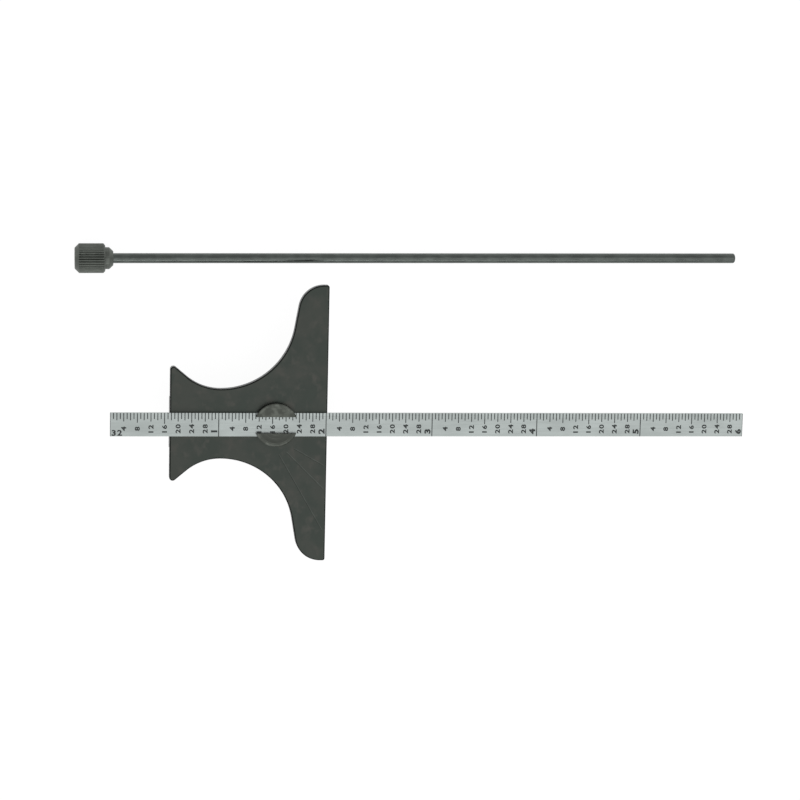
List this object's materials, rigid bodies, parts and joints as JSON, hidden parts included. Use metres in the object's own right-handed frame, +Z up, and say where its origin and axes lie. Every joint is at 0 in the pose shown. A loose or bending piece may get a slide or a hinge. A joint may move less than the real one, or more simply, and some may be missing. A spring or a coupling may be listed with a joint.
{
  "type": "depth gauge",
  "caption": "Depth gauge: flat scalloped head with a ground base edge, turning clamp turret, narrow graduated rule and a loose knobbed measuring rod.",
  "frame": {"origin": "middle of the clamp nut's flat closed end, on the turret's axis, where the gauge lies on a flat surface", "axes": "+X along the rule towards its measuring end, +Y across the head towards the loose rod, +Z up, out of the head's graduated face"},
  "size_m": [0.1606, 0.0745, 0.0154],
  "materials": {
    "blackened_head": "black oxide, satin",
    "grey_turret": "turned, lightly tarnished",
    "satin_rule": "satin with engraved graduations",
    "spring_steel": "drawn wire",
    "bright_washer": "plain",
    "grey_nut": "black oxide, knurled",
    "blackened_rod": "black oxide",
    "blackened_knob": "black oxide, knurled"
  },
  "bodies": {
    "head_body": {"head": "blackened_head", "friction_spring": "spring_steel"},
    "turret_body": {"turret": "grey_turret"},
    "rule_body": {"rule": "satin_rule"},
    "washer_body": {"thrust_washer": "bright_washer"},
    "nut_body": {"clamp_nut": "grey_nut"},
    "rod_body": {"rod": "blackened_rod", "rod_knob": "blackened_knob"}
  },
  "joints": [
    {"name": "turret_swivel", "type": "hinge", "parent": "head_body", "child": "turret_body", "pos_m": [0, 0, 0], "axis": [0, 0, 1], "continuous": true},
    {"name": "rule_slide", "type": "slide", "parent": "turret_body", "child": "rule_body", "axis": [1, 0, 0], "range_m": [-0.1012, 0.0335]},
    {"name": "nut_turn", "type": "hinge", "parent": "washer_body", "child": "nut_body", "pos_m": [0, 0, 0], "axis": [0, 0, 1], "range_deg": [0, 540]},
    {"name": "washer_lift", "type": "slide", "parent": "turret_body", "child": "washer_body", "axis": [0, 0, 1], "range_m": [0, 0.00119], "deforming": ["friction_spring"]},
    {"name": "rod_lift", "type": "slide", "parent": "head_body", "child": "rod_body", "axis": [0, 0, 1], "range_m": [0, 0.05]}
  ],
  "couplings": [
    {"joint": "nut_turn", "follows": "washer_lift", "rad_per_m": 7919.9}
  ]
}
